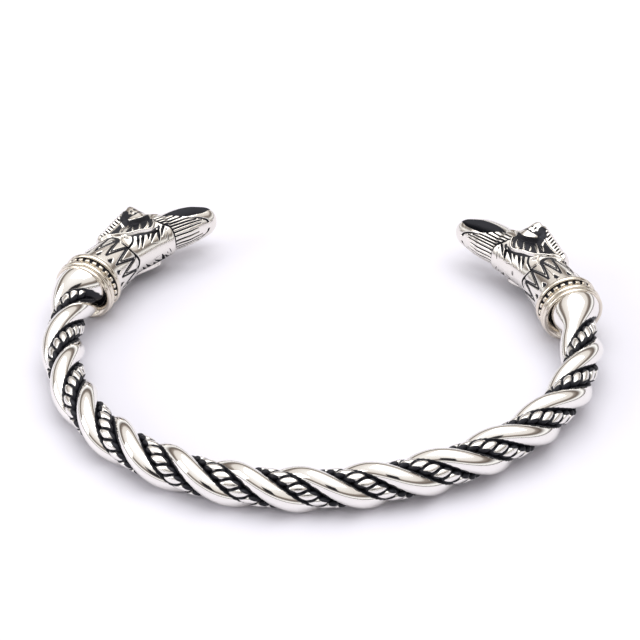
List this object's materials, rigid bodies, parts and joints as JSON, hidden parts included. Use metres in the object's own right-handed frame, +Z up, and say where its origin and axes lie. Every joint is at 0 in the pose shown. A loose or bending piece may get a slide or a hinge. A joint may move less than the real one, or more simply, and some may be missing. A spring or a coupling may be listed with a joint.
{
  "type": "viking arm ring",
  "caption": "Open twisted-rope arm ring of smooth silver strands and beaded wires, with ringed ferrules and open-mouthed beast-head terminals facing across the gap.",
  "frame": {"origin": "bottom centre of the box round the ring as it lies on its side", "axes": "+Z up, along the axis of the wrist; +X across the hoop towards the right ferrule; +Y from the front of the bow towards the gap between the heads"},
  "size_m": [0.0724, 0.0567, 0.0092],
  "materials": {
    "strand_silver": "polished sterling silver",
    "beaded_silver": "silver wire, blackened between the beads",
    "ferrule_silver": "polished sterling silver, blackened in its grooves",
    "cast_silver": "cast sterling silver, polished, blackened in its grooves"
  },
  "bodies": {
    "root": {"smooth_strand_one": "strand_silver", "smooth_strand_two": "strand_silver", "beaded_wire_one": "beaded_silver", "beaded_wire_two": "beaded_silver", "left_ferrule": "ferrule_silver", "right_ferrule": "ferrule_silver", "left_head": "cast_silver", "right_head": "cast_silver"}
  },
  "joints": []
}
